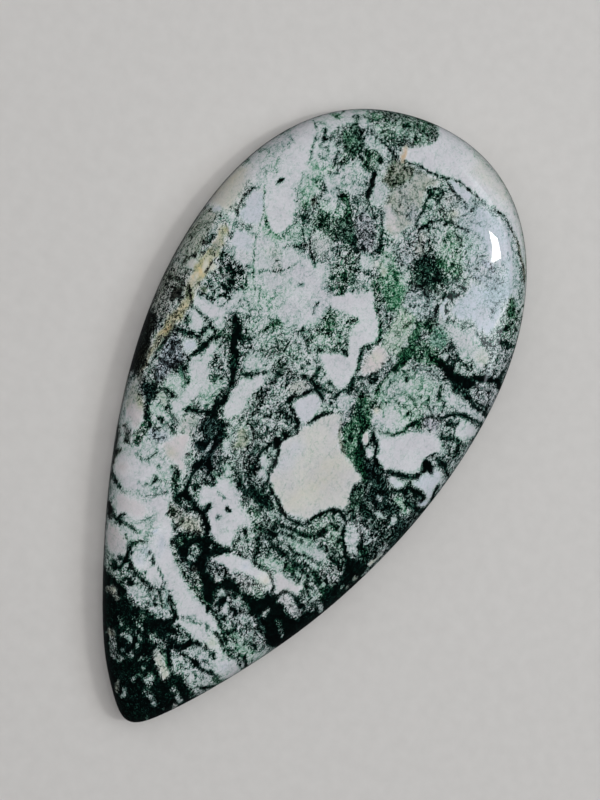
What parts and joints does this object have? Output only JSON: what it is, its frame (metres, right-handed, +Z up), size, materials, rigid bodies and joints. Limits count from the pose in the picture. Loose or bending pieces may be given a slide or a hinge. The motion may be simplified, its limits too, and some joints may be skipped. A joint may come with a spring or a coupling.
{
  "type": "tree agate cabochon",
  "caption": "Pear-shaped polished cabochon of white agate with dark green moss-like markings, flat on the back and low-domed on top.",
  "frame": {"origin": "middle of the stone's outline on its flat back, which is the surface it rests on", "axes": "+Y along the stone from the narrow tip to the wide end, +Z up out of the flat back through the dome, +X across"},
  "size_m": [0.0294, 0.0556, 0.0056],
  "materials": {
    "polished_stone": "polished white agate with dark green moss-like inclusions"
  },
  "bodies": {
    "root": {"cabochon": "polished_stone"}
  },
  "joints": []
}
